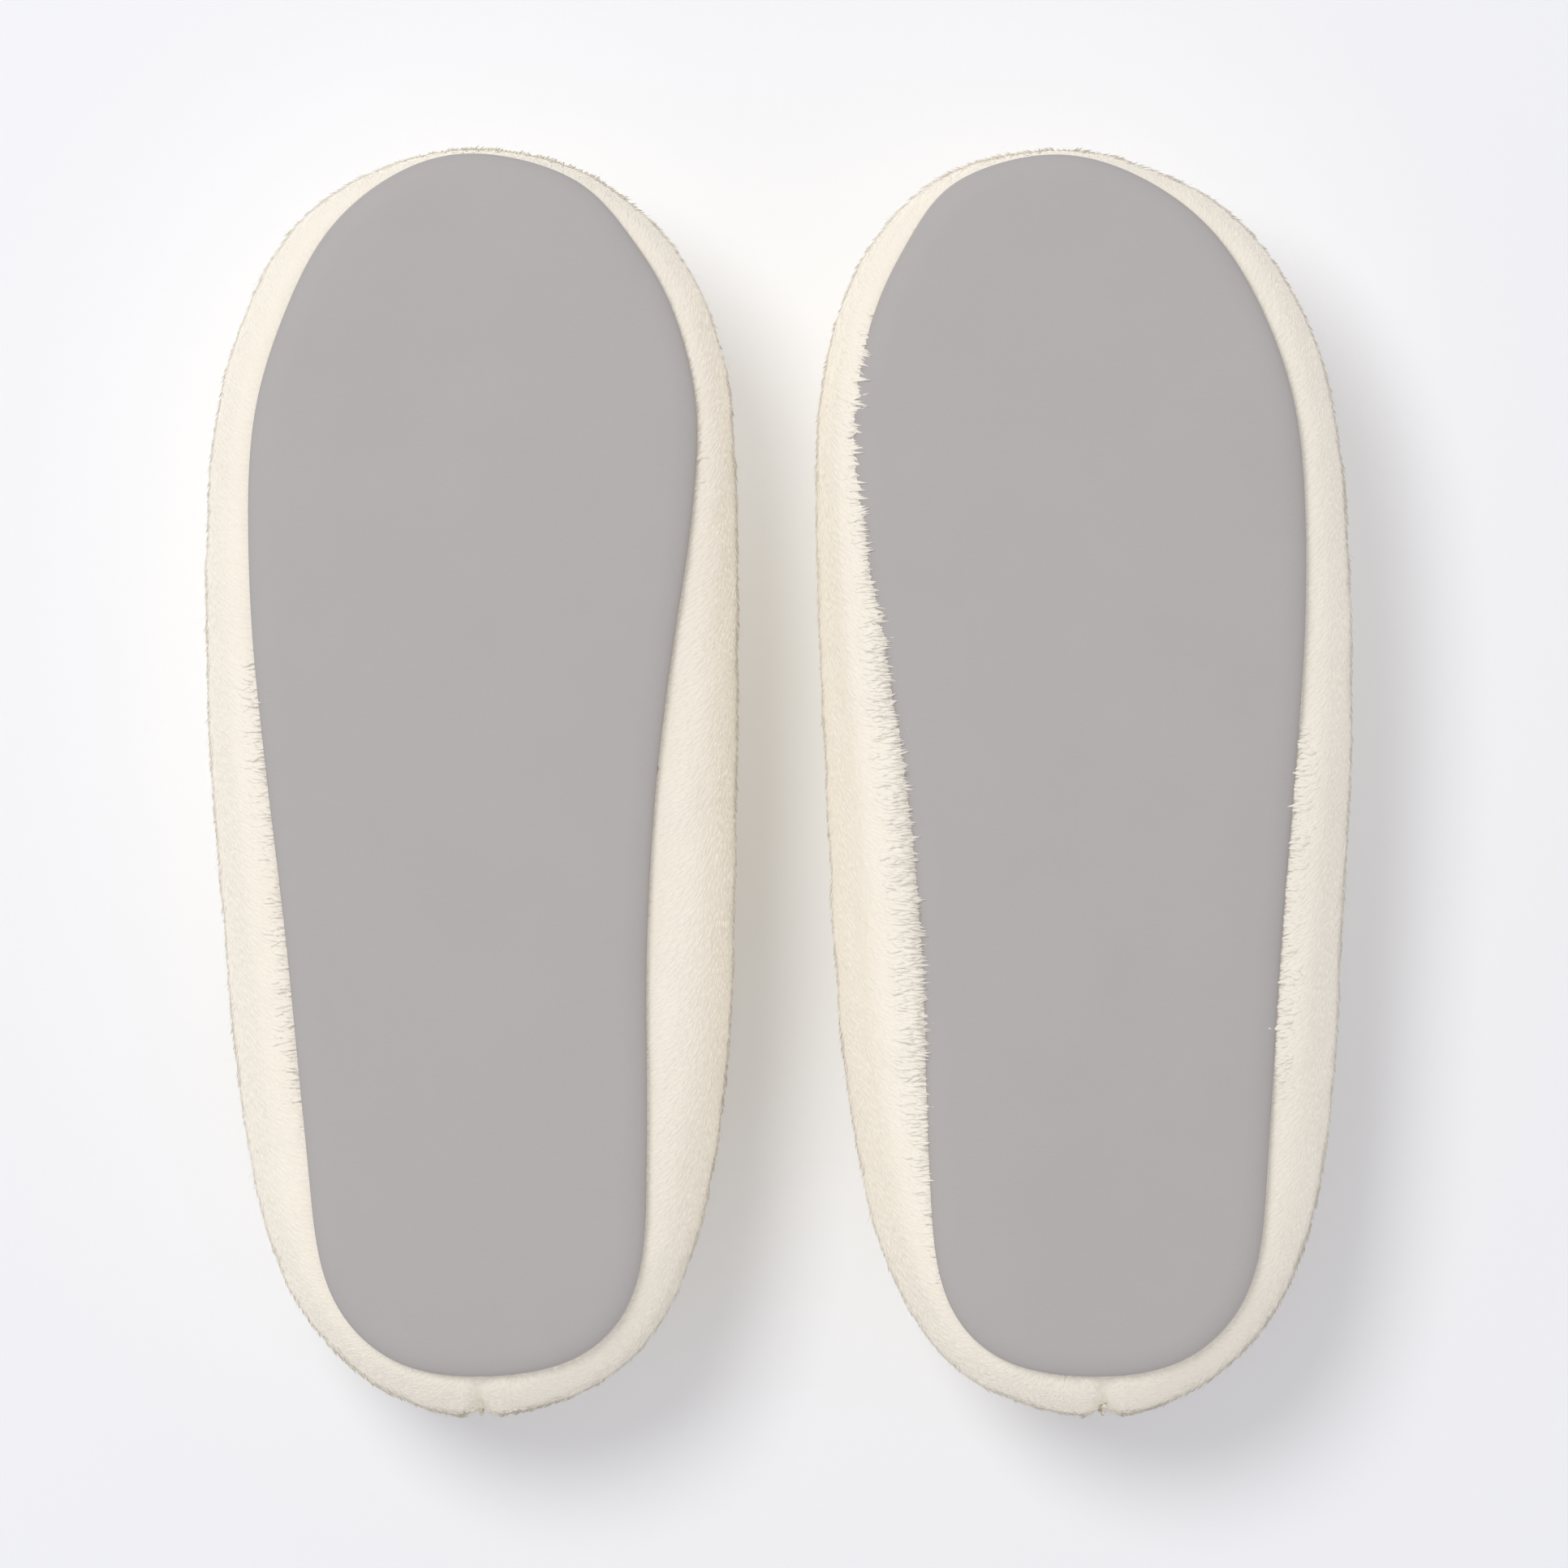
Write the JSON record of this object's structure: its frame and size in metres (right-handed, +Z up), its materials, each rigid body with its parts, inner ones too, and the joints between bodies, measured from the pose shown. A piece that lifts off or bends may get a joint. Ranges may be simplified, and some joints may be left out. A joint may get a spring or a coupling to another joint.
{
  "type": "spa slippers",
  "caption": "Pair of closed-toe, closed-heel plush house slippers with rolled collars, padded footbeds and smooth flat rubber soles.",
  "frame": {"origin": "on the floor under the middle of the pair's bounding box", "axes": "+Z up out of the floor the soles rest on; the toes point to -Y; +X towards the wearer's left, so the left slipper is at +X"},
  "size_m": [0.2372, 0.262, 0.0636],
  "materials": {
    "plush": "short dense cream pile, matt with a soft sheen",
    "footbed_plush": "short clipped cream pile, matt",
    "fleece": "brushed knitted fleece, matt",
    "sole_rubber": "smooth matt warm grey with a very fine crosswise grain",
    "foam": "fine open-cell foam, matt",
    "fibre_board": "pressed fibre board, matt",
    "thread": "twisted polyester thread, slight sheen",
    "tape": "woven herringbone tape, matt",
    "elastic": "braided elastic cord, matt"
  },
  "bodies": {
    "left_slipper": {"left_outsole": "sole_rubber", "left_midsole": "foam", "left_insole_board": "fibre_board", "left_sole_seam_thread": "thread", "left_footbed_foam": "foam", "left_footbed_cover": "footbed_plush", "left_upper_plush": "plush", "left_upper_foam": "foam", "left_upper_lining": "fleece", "left_heel_counter": "fibre_board", "left_heel_seam_tape": "tape", "left_heel_stitches": "thread", "left_collar": "plush", "left_collar_elastic": "elastic"},
    "right_slipper": {"right_outsole": "sole_rubber", "right_midsole": "foam", "right_insole_board": "fibre_board", "right_sole_seam_thread": "thread", "right_footbed_foam": "foam", "right_footbed_cover": "footbed_plush", "right_upper_plush": "plush", "right_upper_foam": "foam", "right_upper_lining": "fleece", "right_heel_counter": "fibre_board", "right_heel_seam_tape": "tape", "right_heel_stitches": "thread", "right_collar": "plush", "right_collar_elastic": "elastic"}
  },
  "joints": [
    {"name": "right_slide", "type": "slide", "parent": "left_slipper", "child": "right_slipper", "axis": [-1, 0, 0], "range_m": [-0.008, 0.035]}
  ]
}
